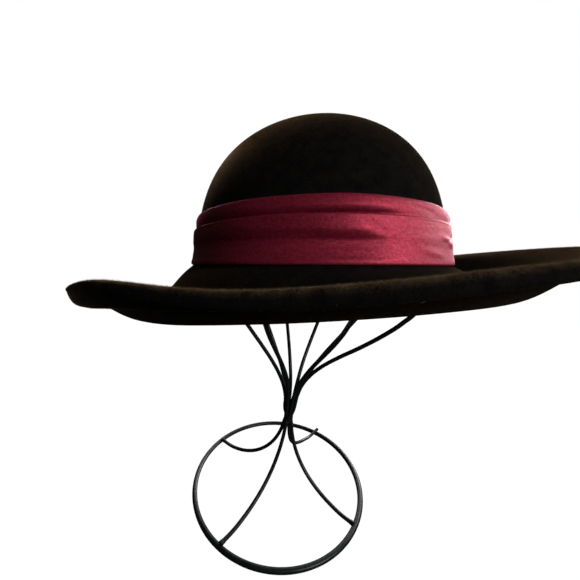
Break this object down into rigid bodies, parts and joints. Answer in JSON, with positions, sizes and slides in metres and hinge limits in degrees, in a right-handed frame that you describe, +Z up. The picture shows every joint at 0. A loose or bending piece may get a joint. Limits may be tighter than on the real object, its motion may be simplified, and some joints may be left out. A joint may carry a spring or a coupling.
{
  "type": "wide-brim felt hat on wire stand",
  "caption": "Round-crowned felt hat with an upturned wide brim and a pleated satin band, resting on a wire stand with a cage of ribs over a base ring.",
  "frame": {"origin": "middle of the outline's lower face, on the surface that the stand's base ring rests on", "axes": "+Z up, +Y away from the viewer; the hat's front, where the brim dips, points between -X and +Y"},
  "size_m": [0.3236, 0.324, 0.3184],
  "materials": {
    "felt": "matt dark brown wool felt with a short nap",
    "satin": "burgundy satin",
    "black_wire": "semi-gloss black paint"
  },
  "bodies": {
    "root": {"hat_body": "felt", "satin_band": "satin", "rib_hub": "black_wire", "base_ring": "black_wire", "neck_weld": "black_wire", "stand_leg_1": "black_wire", "stand_leg_2": "black_wire", "stand_leg_3": "black_wire", "stand_leg_4": "black_wire", "stand_rib_1": "black_wire", "stand_rib_2": "black_wire", "stand_rib_3": "black_wire", "stand_rib_4": "black_wire", "stand_rib_5": "black_wire", "stand_rib_6": "black_wire", "stand_rib_7": "black_wire", "stand_rib_8": "black_wire"}
  },
  "joints": []
}
